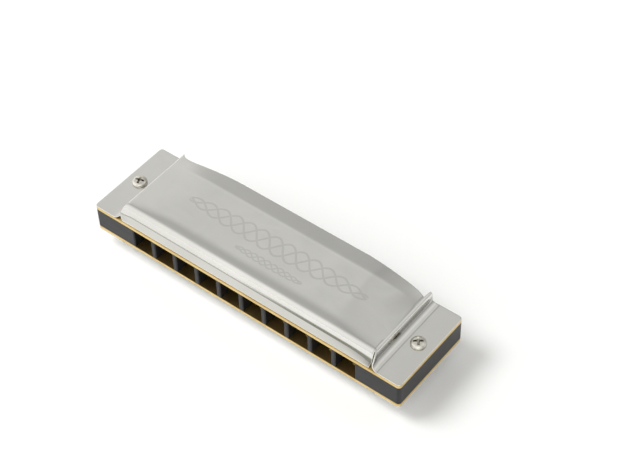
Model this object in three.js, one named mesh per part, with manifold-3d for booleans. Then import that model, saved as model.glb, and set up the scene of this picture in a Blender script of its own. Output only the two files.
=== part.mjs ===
// A 10-hole diatonic harmonica: comb, two reed plates with twenty riveted reeds, and two bent-sheet
// covers held by a through screw at each end. Millimetres, +X along the length with hole 1 at -X,
// the mouth side at -Y, +Z up, and the origin at the middle of the comb.
import * as THREE from 'three';
import { mergeVertices } from 'three/addons/utils/BufferGeometryUtils.js';
import Module from 'manifold-3d';

const wasm = await Module();
wasm.setup();

// Overall
const LENGTH = 101;
const DEPTH = 27;
const CORNER_RADIUS = 1;
const HOLE_COUNT = 10;
const HOLE_PITCH = 7.5;

// Comb and reed plates
const COMB_THICKNESS = 6.4;
const PLATE_THICKNESS = 0.9;
const CHAMBER_WIDTH = 6;
const FIRST_CHAMBER_REAR = 10.8;
const LAST_CHAMBER_REAR = 3.8;

// Reeds: a riveted pad with a thinner tongue, the first reed being the longest
const FIRST_TONGUE = 15.5;
const LAST_TONGUE = 8.5;
const TONGUE_WIDTH = 2.2;
const TONGUE_THICKNESS = 0.22;
const PAD_WIDTH = 2.8;
const PAD_LENGTH = 3.2;
const PAD_THICKNESS = 0.35;
const PAD_CLEARANCE = 0.15;
const STEP_BEFORE_ROOT = 0.2;
const STEP_AFTER_ROOT = 0.3;
const SLOT_SIDE_CLEARANCE = 0.1;
const SLOT_TIP_CLEARANCE = 0.12;
const BLOW_TIP_Y = -8.7;
const DRAW_RIVET_Y = -9.2;

// Rivets
const RIVET_RADIUS = 0.5;
const RIVET_HOLE_RADIUS = 0.6;
const RIVET_HEAD_RADIUS = 1;
const RIVET_HEAD_HEIGHT = 0.45;
const RIVET_TAIL_RADIUS = 0.8;
const RIVET_TAIL_HEIGHT = 0.2;

// Covers: heights count from the top face of the end tabs
const SHEET = 0.4;
const LIP_Y = -13.2;
const CREASE_Y = -11.9;
const CREASE_HEIGHT = 1;
const FRONT_WALL_ANGLE = THREE.MathUtils.degToRad(78);
const FRONT_BEND_CENTRE = [-9.74, 2.1];
const FRONT_BEND_RADIUS = 1.9;
const FRONT_BEND_END_ANGLE = THREE.MathUtils.degToRad(14);
const PANEL_FRONT_Y = -7;
const PANEL_FRONT_HEIGHT = 4.55;
const FOLD_Y = 8;
const FOLD_HEIGHT = 5.5;
const REAR_Y = 13;
const REAR_HEIGHT = 4.65;
const WALL_X = 41.5;
const WALL_HEIGHT = 4;
const WALL_BEND_RADIUS = 1.1;
const DROOP_START_X = 31;
const DROOP_START_HEIGHT = 5.6;
const WALL_ARC_STEPS = 4;
const FOOT_RADIUS = 1.2;
const LIP_END_X = 40.8;
const CORNER_SLIT = 0.3;
const CORNER_SLIT_END_Y = -9.8;
const NOTCH_END_X = 42.3;
const TAB_INNER_RADIUS = 1.1;
const SCALLOP_START_X = 26;
const SCALLOP_END_X = 40.4;
const SCALLOP_END_Y = 10.1;
const SCALLOP_CURVE = 1.5;
const EAR_SLOPE = 0.4;

// Cover screws and nuts
const COVER_SCREW_X = 46.35;
const COVER_SCREW_RADIUS = 1;
const COVER_SCREW_HOLE = 1.15;
const COVER_HEAD_RADIUS = 2.15;
const COVER_HEAD_HEIGHT = 1.25;
const COVER_HEAD_RIM = 0.5;
const NUT_FLATS = 4;
const NUT_HEIGHT = 1.6;
const SCREW_END_BEYOND_NUT = 0.4;

// Reed plate screws, at [x, y] on both plates
const PLATE_SCREW_PLACES = [[-38.5, -8.5], [38.5, -8.5], [-38.5, 10.2], [0, 11], [30, 9.5]];
const PLATE_SCREW_RADIUS = 0.7;
const PLATE_SCREW_HOLE = 0.85;
const PLATE_SCREW_DEPTH = 2.2;
const PLATE_HEAD_RADIUS = 1.4;
const PLATE_HEAD_HEIGHT = 0.7;
const PLATE_HEAD_RIM = 0.28;

// Cross recess, as wing length and width over the head radius and depth over the head height
const CROSS_LENGTH = 0.55;
const CROSS_WIDTH = 0.17;
const CROSS_DEPTH = 0.6;

const ROUND_STEPS = 20;
const SMALL_ROUND_STEPS = 10;
const ARC_STEPS = 6;
const OVERRUN = 1;

const COMB_TOP = COMB_THICKNESS / 2;
const PLATE_TOP = COMB_TOP + PLATE_THICKNESS;
const TAB_TOP = PLATE_TOP + SHEET;

const brass = { color: 0xc9a24e, roughness: 0.35, metalness: 1 };
const nickel = { color: 0xd2d0cb, roughness: 0.22, metalness: 1 };
const screwSteel = { color: 0xcdc6b4, roughness: 0.3, metalness: 1 };
const blackPlastic = { color: 0x17161a, roughness: 0.45, metalness: 0 };

// ---- shapes and solids ----

function shapeOf(points) {
  return new THREE.Shape(points.map(([a, b]) => new THREE.Vector2(a, b)));
}

function arc(centre, radius, from, to, steps = ARC_STEPS) {
  return Array.from({ length: steps + 1 }, (_, i) => {
    const angle = from + ((to - from) * i) / steps;
    return [centre[0] + radius * Math.cos(angle), centre[1] + radius * Math.sin(angle)];
  });
}

function circle(x, y, radius, steps) {
  return arc([x, y], radius, 0, 2 * Math.PI, steps).slice(0, -1);
}

function rectangle(x0, y0, x1, y1) {
  return [[x0, y0], [x1, y0], [x1, y1], [x0, y1]];
}

// Corners anticlockwise from the low one; each radius rounds its own corner
function roundedRectangle(x0, y0, x1, y1, radii) {
  const [a, b, c, d] = radii;
  return [
    ...arc([x0 + a, y0 + a], a, Math.PI, 1.5 * Math.PI),
    ...arc([x1 - b, y0 + b], b, 1.5 * Math.PI, 2 * Math.PI),
    ...arc([x1 - c, y1 - c], c, 0, 0.5 * Math.PI),
    ...arc([x0 + d, y1 - d], d, 0.5 * Math.PI, Math.PI),
  ];
}

// Moves an open line sideways, to the right of its direction, with mitred corners
function offsetLine(points, distance) {
  const normalAt = (i) => {
    const [ax, ay] = points[Math.max(i, 0)];
    const [bx, by] = points[Math.min(i + 1, points.length - 1)];
    const length = Math.hypot(bx - ax, by - ay);
    return [(by - ay) / length, (ax - bx) / length];
  };
  return points.map(([x, y], i) => {
    const before = normalAt(Math.max(i - 1, 0));
    const after = normalAt(Math.min(i, points.length - 2));
    const sum = [before[0] + after[0], before[1] + after[1]];
    const scale = (2 * distance) / (sum[0] ** 2 + sum[1] ** 2);
    return [x + sum[0] * scale, y + sum[1] * scale];
  });
}

function solidOf(geometry) {
  const bare = geometry.clone();
  bare.deleteAttribute('normal');
  bare.deleteAttribute('uv');
  const merged = mergeVertices(bare, 1e-5);
  return new wasm.Manifold(new wasm.Mesh({
    numProp: 3,
    vertProperties: new Float32Array(merged.attributes.position.array),
    triVerts: new Uint32Array(merged.index.array),
  }));
}

function geometryOf(solid) {
  const mesh = solid.getMesh();
  const geometry = new THREE.BufferGeometry();
  geometry.setAttribute('position', new THREE.BufferAttribute(new Float32Array(mesh.vertProperties), 3));
  geometry.setIndex(new THREE.BufferAttribute(new Uint32Array(mesh.triVerts), 1));
  geometry.computeVertexNormals();
  return geometry;
}

function extrude(points, length) {
  return new THREE.ExtrudeGeometry(shapeOf(points), { depth: length, bevelEnabled: false });
}

// A plan outline in (x, y), standing from z0 to z1
function alongZ(points, z0, z1) {
  return solidOf(extrude(points, z1 - z0).translate(0, 0, z0));
}

// A section in (y, z), running from x0 to x1
function alongX(points, x0, x1) {
  const turn = new THREE.Matrix4().makeBasis(
    new THREE.Vector3(0, 1, 0), new THREE.Vector3(0, 0, 1), new THREE.Vector3(1, 0, 0));
  return solidOf(extrude(points, x1 - x0).applyMatrix4(turn).translate(x0, 0, 0));
}

// A section in (x, z), running from y0 to y1
function alongY(points, y0, y1) {
  return solidOf(extrude(points, y1 - y0).rotateX(Math.PI / 2).translate(0, y1, 0));
}

// A profile of [radius, z] pairs that starts and ends on the axis, turned round the Z axis
function turned(profile, steps) {
  const points = profile.map(([radius, z]) => new THREE.Vector2(radius, z));
  return solidOf(new THREE.LatheGeometry(points, steps).rotateX(Math.PI / 2));
}

function subtractAll(solid, cuts) {
  return cuts.reduce((left, cut) => left.subtract(cut), solid);
}

function meshOf(name, solid, finish) {
  const mesh = new THREE.Mesh(geometryOf(solid), new THREE.MeshStandardMaterial(finish));
  mesh.name = name;
  return mesh;
}

// ---- places that several pieces share ----

function holeX(hole) {
  return (hole - (HOLE_COUNT - 1) / 2) * HOLE_PITCH;
}

function alongHoles(first, last, hole) {
  return first + ((last - first) * hole) / (HOLE_COUNT - 1);
}

function tongueLength(hole) {
  return alongHoles(FIRST_TONGUE, LAST_TONGUE, hole);
}

// Where a reed's rivet is, and which way its tongue points along Y
function blowReedPlace(hole) {
  return { x: holeX(hole), y: BLOW_TIP_Y + tongueLength(hole) + PAD_LENGTH / 2, way: -1 };
}

function drawReedPlace(hole) {
  return { x: holeX(hole), y: DRAW_RIVET_Y, way: 1 };
}

const bodyOutline = roundedRectangle(
  -LENGTH / 2, -DEPTH / 2, LENGTH / 2, DEPTH / 2, Array(4).fill(CORNER_RADIUS));

function coverScrewHoles(z0, z1) {
  return [-1, 1].map((side) => alongZ(
    circle(side * COVER_SCREW_X, 0, COVER_SCREW_HOLE, ROUND_STEPS), z0 - OVERRUN, z1 + OVERRUN));
}

// ---- comb and reed plates ----

function comb() {
  const chambers = Array.from({ length: HOLE_COUNT }, (_, hole) => alongZ(
    rectangle(
      holeX(hole) - CHAMBER_WIDTH / 2, -DEPTH / 2 - OVERRUN,
      holeX(hole) + CHAMBER_WIDTH / 2, alongHoles(FIRST_CHAMBER_REAR, LAST_CHAMBER_REAR, hole)),
    -COMB_TOP - OVERRUN, COMB_TOP + OVERRUN));
  const screwHoles = PLATE_SCREW_PLACES.flatMap(([x, y]) => [
    alongZ(circle(x, y, PLATE_SCREW_HOLE, SMALL_ROUND_STEPS),
      COMB_TOP - PLATE_SCREW_DEPTH - OVERRUN / 4, COMB_TOP + OVERRUN),
    alongZ(circle(x, y, PLATE_SCREW_HOLE, SMALL_ROUND_STEPS),
      -COMB_TOP - OVERRUN, -COMB_TOP + PLATE_SCREW_DEPTH + OVERRUN / 4),
  ]);
  const blank = alongZ(bodyOutline, -COMB_TOP, COMB_TOP);
  return subtractAll(blank, [...chambers, ...screwHoles, ...coverScrewHoles(-COMB_TOP, COMB_TOP)]);
}

function reedPlate(placeOf) {
  const cuts = Array.from({ length: HOLE_COUNT }, (_, hole) => {
    const { x, y, way } = placeOf(hole);
    const near = y + way * (PAD_LENGTH / 2);
    const far = near + way * (tongueLength(hole) + SLOT_TIP_CLEARANCE);
    const half = TONGUE_WIDTH / 2 + SLOT_SIDE_CLEARANCE;
    return [
      alongZ(rectangle(x - half, Math.min(near, far), x + half, Math.max(near, far)),
        -OVERRUN, PLATE_THICKNESS + OVERRUN),
      alongZ(circle(x, y, RIVET_HOLE_RADIUS, SMALL_ROUND_STEPS), -OVERRUN, PLATE_THICKNESS + OVERRUN),
    ];
  }).flat();
  const screwHoles = PLATE_SCREW_PLACES.map(([x, y]) => alongZ(
    circle(x, y, PLATE_SCREW_HOLE, SMALL_ROUND_STEPS), -OVERRUN, PLATE_THICKNESS + OVERRUN));
  const blank = alongZ(bodyOutline, 0, PLATE_THICKNESS);
  return subtractAll(blank, [...cuts, ...screwHoles, ...coverScrewHoles(0, PLATE_THICKNESS)]);
}

// ---- reeds and rivets: z = 0 is the reed's face towards its plate, the rivet is at x = y = 0 ----

function reed(hole) {
  const root = PAD_LENGTH / 2;
  const section = [
    [-root, -PAD_THICKNESS], [root - STEP_BEFORE_ROOT, -PAD_THICKNESS],
    [root + STEP_AFTER_ROOT, -TONGUE_THICKNESS],
    [root + tongueLength(hole), -TONGUE_THICKNESS], [root + tongueLength(hole), 0], [-root, 0],
  ];
  const plan = [
    [-PAD_WIDTH / 2, -root], [PAD_WIDTH / 2, -root], [PAD_WIDTH / 2, root],
    [TONGUE_WIDTH / 2, root], [TONGUE_WIDTH / 2, root + FIRST_TONGUE + OVERRUN],
    [-TONGUE_WIDTH / 2, root + FIRST_TONGUE + OVERRUN], [-TONGUE_WIDTH / 2, root],
    [-PAD_WIDTH / 2, root],
  ];
  const bar = alongX(section, -PAD_WIDTH, PAD_WIDTH);
  const outline = alongZ(plan, -OVERRUN, OVERRUN);
  const rivetHole = alongZ(circle(0, 0, RIVET_HOLE_RADIUS, SMALL_ROUND_STEPS), -OVERRUN, OVERRUN);
  return bar.intersect(outline).subtract(rivetHole);
}

function rivet() {
  const plateFace = PAD_CLEARANCE;
  const tailFoot = plateFace + PLATE_THICKNESS;
  const headTop = -PAD_THICKNESS - PAD_CLEARANCE;
  const headFoot = headTop - RIVET_HEAD_HEIGHT;
  return turned([
    [0, headFoot],
    [RIVET_HEAD_RADIUS * 0.6, headFoot],
    [RIVET_HEAD_RADIUS, headTop - RIVET_HEAD_HEIGHT * 0.4],
    [RIVET_HEAD_RADIUS, headTop],
    [RIVET_RADIUS, headTop],
    [RIVET_RADIUS, tailFoot],
    [RIVET_TAIL_RADIUS, tailFoot],
    [RIVET_TAIL_RADIUS * 0.7, tailFoot + RIVET_TAIL_HEIGHT],
    [0, tailFoot + RIVET_TAIL_HEIGHT],
  ], SMALL_ROUND_STEPS);
}

// ---- covers: z = 0 is the top face of the end tabs ----

// The outer skin's line across the cover, in (y, z), from the lip over the top to the rear edge
function skinLine() {
  const top = Math.PI / 2;
  return [
    [LIP_Y, 0],
    [CREASE_Y, CREASE_HEIGHT],
    ...arc(FRONT_BEND_CENTRE, FRONT_BEND_RADIUS, top + FRONT_WALL_ANGLE, top + FRONT_BEND_END_ANGLE),
    [PANEL_FRONT_Y, PANEL_FRONT_HEIGHT],
    [FOLD_Y, FOLD_HEIGHT],
    [REAR_Y, REAR_HEIGHT],
  ];
}

// The outer skin's line over the cover's ends, in (x, z), from left to right
function endLine() {
  const bend = [WALL_X - WALL_BEND_RADIUS, WALL_HEIGHT - WALL_BEND_RADIUS];
  const over = arc(bend, WALL_BEND_RADIUS, Math.PI / 2, 0, WALL_ARC_STEPS);
  const right = [[DROOP_START_X, DROOP_START_HEIGHT], ...over];
  const left = right.map(([x, z]) => [-x, z]).reverse();
  return [[-WALL_X, -SHEET], ...left, ...right, [WALL_X, -SHEET]];
}

// The raised section's block: everything under the skin, drawn in by inset for the hollow
function raisedBlock(inset, front, rear, foot) {
  const across = offsetLine(skinLine(), inset);
  const [rearY, rearZ] = across.at(-1);
  const acrossOutline = [
    [across[0][0] + front, foot], ...across, [rearY + rear, rearZ], [rearY + rear, foot]];
  const over = offsetLine(endLine(), inset);
  const overOutline = [[over[0][0], foot], ...over.slice(1, -1), [over.at(-1)[0], foot]];
  return alongX(acrossOutline, -WALL_X, WALL_X).intersect(alongY(overOutline.reverse(), -DEPTH, DEPTH));
}

// One end's foot: the wall turns outwards through a fillet into the tab that the screw holds
function coverFoot(side) {
  const centre = [WALL_X + FOOT_RADIUS, FOOT_RADIUS];
  const line = [
    [WALL_X, FOOT_RADIUS + SHEET],
    ...arc(centre, FOOT_RADIUS, Math.PI, 1.5 * Math.PI),
    [LENGTH / 2, 0],
  ];
  const band = [...line, ...offsetLine(line, SHEET).reverse()];
  const placed = band.map(([x, z]) => [side * x, z]);
  const sheet = alongY(side > 0 ? placed : placed.reverse(), -DEPTH / 2, DEPTH / 2);
  const radii = [TAB_INNER_RADIUS, CORNER_RADIUS, CORNER_RADIUS, SHEET];
  const plan = roundedRectangle(WALL_X - SHEET, -DEPTH / 2, LENGTH / 2, DEPTH / 2, radii);
  const outline = plan.map(([x, y]) => [side * x, y]);
  return sheet.intersect(alongZ(side > 0 ? outline : outline.reverse(), -OVERRUN, WALL_HEIGHT));
}

// Plan of what is cut from the raised section's rear edge, which curves forward at each end
function rearScallop(side) {
  const reach = SCALLOP_END_X - SCALLOP_START_X;
  const edge = Array.from({ length: ARC_STEPS + 1 }, (_, i) => {
    const along = i / ARC_STEPS;
    return [SCALLOP_START_X + reach * along, REAR_Y - (REAR_Y - SCALLOP_END_Y) * along ** SCALLOP_CURVE];
  });
  const outline = [
    ...edge, [SCALLOP_END_X + EAR_SLOPE, REAR_Y + OVERRUN], [SCALLOP_START_X, REAR_Y + OVERRUN]];
  const placed = outline.map(([x, y]) => [side * x, y]);
  return alongZ(side > 0 ? placed : placed.reverse(), -OVERRUN, FOLD_HEIGHT + OVERRUN);
}

function boxCut(side, x0, y0, z0, x1, y1, z1) {
  const low = Math.min(side * x0, side * x1);
  const high = Math.max(side * x0, side * x1);
  return alongZ(rectangle(low, y0, high, y1), z0, z1);
}

function cover() {
  const outer = raisedBlock(0, 0, 0, -SHEET);
  const hollow = raisedBlock(SHEET, SHEET, DEPTH, -SHEET - OVERRUN);
  const front = -DEPTH / 2 - OVERRUN;
  const slitEnd = LIP_END_X + CORNER_SLIT;
  const cuts = [-1, 1].flatMap((side) => [
    rearScallop(side),
    boxCut(side, WALL_X - 2 * SHEET, CREASE_Y, -OVERRUN, WALL_X + SHEET, DEPTH, FOOT_RADIUS),
    boxCut(side, LIP_END_X, front, -OVERRUN, slitEnd, CORNER_SLIT_END_Y, WALL_HEIGHT + OVERRUN),
    boxCut(side, LIP_END_X, front, -OVERRUN, NOTCH_END_X, CREASE_Y, WALL_HEIGHT),
  ]);
  const raised = subtractAll(outer.subtract(hollow), cuts);
  return subtractAll(raised.add(coverFoot(-1)).add(coverFoot(1)), coverScrewHoles(-SHEET, 0));
}

// ---- fasteners ----

// A cross recess cut into a head whose top is at z = top
function crossRecess(radius, height, top) {
  const length = radius * CROSS_LENGTH;
  const half = radius * CROSS_WIDTH;
  const foot = top - height * CROSS_DEPTH;
  return [
    alongZ(rectangle(-length, -half, length, half), foot, top + OVERRUN),
    alongZ(rectangle(-half, -length, half, length), foot, top + OVERRUN),
  ];
}

// The head's seat is at z = 0 and the shank goes down from it
function panHeadScrew(headRadius, headHeight, rim, shankRadius, shankLength, steps) {
  const blank = turned([
    [0, -shankLength],
    [shankRadius * 0.7, -shankLength],
    [shankRadius, -shankLength + shankRadius * 0.5],
    [shankRadius, 0],
    [headRadius, 0],
    [headRadius, rim],
    [headRadius * 0.9, rim + (headHeight - rim) * 0.6],
    [headRadius * 0.6, headHeight],
    [0, headHeight],
  ], steps);
  return subtractAll(blank, crossRecess(headRadius, headHeight, headHeight));
}

function coverScrew() {
  const length = 2 * TAB_TOP + NUT_HEIGHT + SCREW_END_BEYOND_NUT;
  return panHeadScrew(
    COVER_HEAD_RADIUS, COVER_HEAD_HEIGHT, COVER_HEAD_RIM, COVER_SCREW_RADIUS, length, ROUND_STEPS);
}

function plateScrew() {
  return panHeadScrew(
    PLATE_HEAD_RADIUS, PLATE_HEAD_HEIGHT, PLATE_HEAD_RIM, PLATE_SCREW_RADIUS,
    PLATE_THICKNESS + PLATE_SCREW_DEPTH, SMALL_ROUND_STEPS);
}

// The nut's upper face is at z = 0
function nut() {
  const corner = NUT_FLATS / 2 / Math.cos(Math.PI / 6);
  const blank = alongZ(circle(0, 0, corner, 6), -NUT_HEIGHT, 0);
  const bore = circle(0, 0, COVER_SCREW_HOLE, ROUND_STEPS);
  return blank.subtract(alongZ(bore, -NUT_HEIGHT - OVERRUN, OVERRUN));
}

// ---- assembly ----

const harmonica = new THREE.Group();

function place(mesh, x, y, z) {
  mesh.position.set(x, y, z);
  harmonica.add(mesh);
  return mesh;
}

function addReed(kind, placeOf, faceZ, hole) {
  const { x, y, way } = placeOf(hole);
  const name = `${kind}_${hole + 1}`;
  const turn = way > 0 ? 0 : Math.PI;
  place(meshOf(`reed_${name}`, reed(hole), brass), x, y, faceZ - PAD_CLEARANCE).rotation.z = turn;
  place(meshOf(`rivet_${name}`, rivet(), brass), x, y, faceZ - PAD_CLEARANCE);
}

place(meshOf('comb', comb(), blackPlastic), 0, 0, 0);
place(meshOf('upper_reed_plate', reedPlate(blowReedPlace), brass), 0, 0, COMB_TOP);
place(meshOf('lower_reed_plate', reedPlate(drawReedPlace), brass), 0, 0, -PLATE_TOP);

for (let hole = 0; hole < HOLE_COUNT; hole += 1) {
  addReed('blow', blowReedPlace, COMB_TOP, hole);
  addReed('draw', drawReedPlace, -PLATE_TOP, hole);
}

PLATE_SCREW_PLACES.forEach(([x, y], i) => {
  place(meshOf(`upper_plate_screw_${i + 1}`, plateScrew(), screwSteel), x, y, PLATE_TOP);
  place(meshOf(`lower_plate_screw_${i + 1}`, plateScrew(), screwSteel), x, y, -PLATE_TOP)
    .rotation.x = Math.PI;
});

place(meshOf('upper_cover', cover(), nickel), 0, 0, TAB_TOP);
place(meshOf('lower_cover', cover(), nickel), 0, 0, -TAB_TOP).rotation.y = Math.PI;

for (const [side, name] of [[-1, 'left'], [1, 'right']]) {
  place(meshOf(`cover_screw_${name}`, coverScrew(), screwSteel), side * COVER_SCREW_X, 0, TAB_TOP);
  place(meshOf(`cover_nut_${name}`, nut(), screwSteel), side * COVER_SCREW_X, 0, -TAB_TOP);
}

export default harmonica;
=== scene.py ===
"""The harmonica's looks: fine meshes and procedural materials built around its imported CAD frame.

Lengths below are in millimetres and are scaled to metres when a mesh is made. The frame is the
CAD's: +X along the length, the mouth side at -Y, +Z up, the origin in the middle of the comb.
"""

from collections import namedtuple
from contextlib import contextmanager
from math import acos, asin, atan2, copysign, cos, dist, hypot, pi, radians, sin, sqrt, tan
from types import SimpleNamespace

import bmesh
import bpy
import numpy as np
from mathutils import Matrix, Vector
from mathutils.geometry import delaunay_2d_cdt


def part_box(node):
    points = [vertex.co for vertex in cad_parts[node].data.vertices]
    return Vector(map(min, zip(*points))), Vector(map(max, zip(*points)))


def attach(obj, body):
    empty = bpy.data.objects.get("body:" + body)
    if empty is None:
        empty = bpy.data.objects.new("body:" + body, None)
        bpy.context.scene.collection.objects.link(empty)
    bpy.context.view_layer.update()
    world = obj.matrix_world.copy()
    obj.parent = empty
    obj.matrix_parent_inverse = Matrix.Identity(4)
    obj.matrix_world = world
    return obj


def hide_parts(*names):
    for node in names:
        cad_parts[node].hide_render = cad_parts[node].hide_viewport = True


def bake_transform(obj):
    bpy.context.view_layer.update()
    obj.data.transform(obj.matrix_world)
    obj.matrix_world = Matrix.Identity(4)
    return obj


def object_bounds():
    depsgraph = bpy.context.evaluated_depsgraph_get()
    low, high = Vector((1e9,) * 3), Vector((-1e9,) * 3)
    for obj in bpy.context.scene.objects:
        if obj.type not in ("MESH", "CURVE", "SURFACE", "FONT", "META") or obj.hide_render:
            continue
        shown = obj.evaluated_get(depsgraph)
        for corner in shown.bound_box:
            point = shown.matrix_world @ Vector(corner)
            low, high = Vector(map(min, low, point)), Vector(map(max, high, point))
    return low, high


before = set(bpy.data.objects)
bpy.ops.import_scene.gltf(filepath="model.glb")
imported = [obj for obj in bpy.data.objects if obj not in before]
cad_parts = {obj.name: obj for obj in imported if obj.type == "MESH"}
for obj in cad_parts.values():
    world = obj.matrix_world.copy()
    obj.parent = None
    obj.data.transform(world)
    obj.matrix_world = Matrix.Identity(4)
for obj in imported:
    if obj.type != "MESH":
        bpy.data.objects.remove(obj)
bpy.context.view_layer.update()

MM = 0.001
QUARTER = pi / 2
HOLES = sum(name.startswith("reed_blow_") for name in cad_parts)
PLATE_SCREWS = 5
ROOT = "root"

# Sheet of the covers: heights count from the top face of the end tabs
SHEET = 0.4
HALF_SHEET = SHEET / 2

# Section of the cover, from the lip at the mouth to the rear edge
LIP_Y = -13.2
CREASE_Y = -11.7
CREASE_Z = 1.1
CREASE_RADIUS = 0.3
BEND_Y = -9.6
BEND_Z = 2.18
BEND_RADIUS = 1.9
BEND_START = radians(80)
BEND_END = radians(14)
PANEL_Y = -7.0
PANEL_Z = 4.52
FOLD_Y = 7.6
FOLD_Z = 5.5
FOLD_SOFTNESS = 0.8
REAR_Y = 13.0
REAR_Z = 4.65

# Ends of the cover: the end wall, its upper bend, its front edge, and its fillet into the tab
WALL_X = 41.5
END_Z = 4.0
END_FRONT_SCALE = 0.965
END_RADIUS = 1.1
END_SLOPE = radians(13)
EDGE_Z = 3.75
EDGE_BULGE = 1.35
SLIT_Y = -9.9
FOOT_HEIGHT = 1.7
FOOT_REACH = 2.6
CORNER_REACH = 2.6
TAB_CORNER = 1.0
EAR_FOOT_START = 0.8
EAR_FOOT_END = 3.4

# How the top, the folded front and the rear edge change towards the ends
DROOP_START = 26.0
DROOP_EASE = 0.5
SCALLOP_START = 22.0
SCALLOP_DEPTH = 1.9
SCALLOP_POWER = 1.2
EAR_STEP_POWER = 12
SPREAD_Z = 3.9
LIP_CUT_POWER = 1.4
SINK_EASED_X = 39.5
SINK_LAST_X = 38
SINK_LAST_SHARE = 0.45
SINK_FADE_HEIGHT = 1.6
SINK_DOWN = 0.8
SINK_FORWARD = 0.4

# The two ends of a cover differ: where and how far the lip sinks, where the folded front ends at
# its top, how much further it reaches lower down, how much the lip's corner is cut back, the end
# wall's front edge, the turn of its foot's corner and its outward flare, and the rear edge's step
# and shape at the ear
END_SHAPES = {
    -1: SimpleNamespace(
        sink_start=37.0, sink=0.5, flap_end=41.0, spread=1.5, lip_cut=1.9,
        edge_front=-10.45, corner_power=2, flare=0.0,
        ear_step=-1.1, ear_start=0.65, ear_power=1,
    ),
    1: SimpleNamespace(
        sink_start=34.5, sink=0.8, flap_end=40.55, spread=0.0, lip_cut=0.0,
        edge_front=-13.0, corner_power=1, flare=0.55,
        ear_step=0.9, ear_start=0.72, ear_power=3,
    ),
}

# Mesh rows of the folded front, as shares of the lip's depth and of the front wall's height
LIP_SHARES = (0, 0.3, 0.6, 0.8, 0.93)
WALL_SHARES = (0.06, 0.14, 0.28, 0.6)
CREASE_STEPS = 6

# Dark reflections on the cover, from 0 to 1: at the lip, in the crease, which opens towards the
# right, in a faint veil over the front wall's left part, and on the lower end walls
LIP_SHADE = 0.28
LIP_SHADE_RISE = 0.35
LIP_RISE_X = (24, 38)
CREASE_SHADE = 0.65
CREASE_OPENS_X = (-10, 25)
OPEN_ROWS = 3
VEIL_SHADE = 0.14
VEIL_FADES_X = (-40, 0)
VEIL_GROWS_Y = (-10.1, -10.9)
# Heights where the painted dark reflection on the end walls rises above the foot and fades below the bend
END_WALL_SHADE_FOOT_Z = (0.35, 1.0)
END_WALL_SHADE_TOP_Z = (2.4, 3.1)

# Holes through the comb and plates, and the comb's chambers
COVER_HOLE = 1.15
PLATE_HOLE = 0.85
RIVET_HOLE = 0.6
CHAMBER_HALF = 3.0
CHAMBER_SPARE = 0.8
CHAMBER_RADIUS = 0.7
MOUTH_RADIUS = 0.45
COMB_EDGE = 0.22
SLOT_HALF = 1.2
SLOT_GAP = 0.12
SLOT_RADIUS = 0.12
PLATE_EDGE = 0.08

# Reeds: a riveted pad, half widths at distances from its two ends, and a thinner tongue
PAD_LENGTH = 3.2
PAD_THICKNESS = 0.35
PAD_REAR = ((0.0, 1.05), (0.06, 1.22), (0.18, 1.34), (0.36, 1.4))
PAD_FRONT = ((0.3, 1.4), (0.12, 1.32), (0.0, 1.1))
TONGUE_THICKNESS = 0.22
TONGUE_HALF = 1.1
TONGUE_TAPER = 0.04
TONGUE_MILLING = 0.18
TONGUE_STEP_SHARE = 0.09
TONGUE_ROWS = 22
REED_EDGE = 0.035

# Rivets
RIVET_HEAD = 1.0
RIVET_SHANK = 0.5
RIVET_CLINCH = 0.8
HEAD_RIM = 0.06
CLINCH_RIM = 0.03
PAD_AIR = 0.15

# Screws: their sizes, the thread's, dome's and recess's shape, and how dark the painted shade in the
# recess and the painted contact shadow at the seat are
ScrewSizes = namedtuple("ScrewSizes", "head_radius head_height rim shank_radius thread_length pitch")
COVER_SCREW = ScrewSizes(2.08, 1.25, 0.3, 1.0, 3.0, 0.4)
PLATE_SCREW = ScrewSizes(1.4, 0.7, 0.28, 0.7, 2.0, 0.35)
THREAD_ROWS = 7
THREAD_DEPTH = 0.28
THREAD_START = 0.25
POINT_BEVEL = 0.12
HEAD_EDGE = 0.08
DOME_FLATNESS = 0.8
DOME_RISE = 0.9
RECESS_DEPTH = 0.9
RECESS_REACH = 0.75
RECESS_SHADE = 0.6
SEAT_SHADE = 0.7

# Cover nuts
NUT_FLATS = 2.0
NUT_CROWN = 1.88
NUT_CORNER = 2.25
NUT_BORE = 1.02
NUT_LEAD_WIDTH = 0.14
NUT_LEAD_HEIGHT = 0.2
NUT_CHAMFER = radians(30)
NUT_STEPS = 72


def box_mm(node):
    """A CAD node's lowest and highest corners in millimetres."""
    low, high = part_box(node)
    return low / MM, high / MM


def centre_of(node):
    low, high = box_mm(node)
    return (low + high) / 2


TAB_TOP = box_mm("upper_cover")[0].z + SHEET
LENGTH_HALF = box_mm("upper_cover")[1].x
DEPTH_HALF = box_mm("upper_cover")[1].y


# ---- Mesh helpers

def clamp(value):
    return min(1.0, max(0.0, value))


def smoothstep(a, b, x):
    t = clamp((x - a) / (b - a))
    return t * t * (3 - 2 * t)


def scene_object(name, data):
    obj = bpy.data.objects.new(name, data)
    bpy.context.scene.collection.objects.link(obj)
    return obj


def mesh_object(name, points, faces, smooth=True):
    """A new object from points in millimetres."""
    mesh = bpy.data.meshes.new(name)
    mesh.from_pydata([tuple(float(c) * MM for c in p) for p in points], [], faces)
    mesh.validate()
    mesh.polygons.foreach_set("use_smooth", [smooth] * len(mesh.polygons))
    return scene_object(name, mesh)


def mark(obj, name, values):
    """Stores one number per point for the materials to read."""
    attribute = obj.data.attributes.new(name, "FLOAT", "POINT")
    attribute.data.foreach_set("value", values)


@contextmanager
def editing(obj):
    """An editable copy of the object's mesh, which is written back afterwards."""
    bm = bmesh.new()
    bm.from_mesh(obj.data)
    yield bm
    bm.to_mesh(obj.data)
    bm.free()


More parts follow.
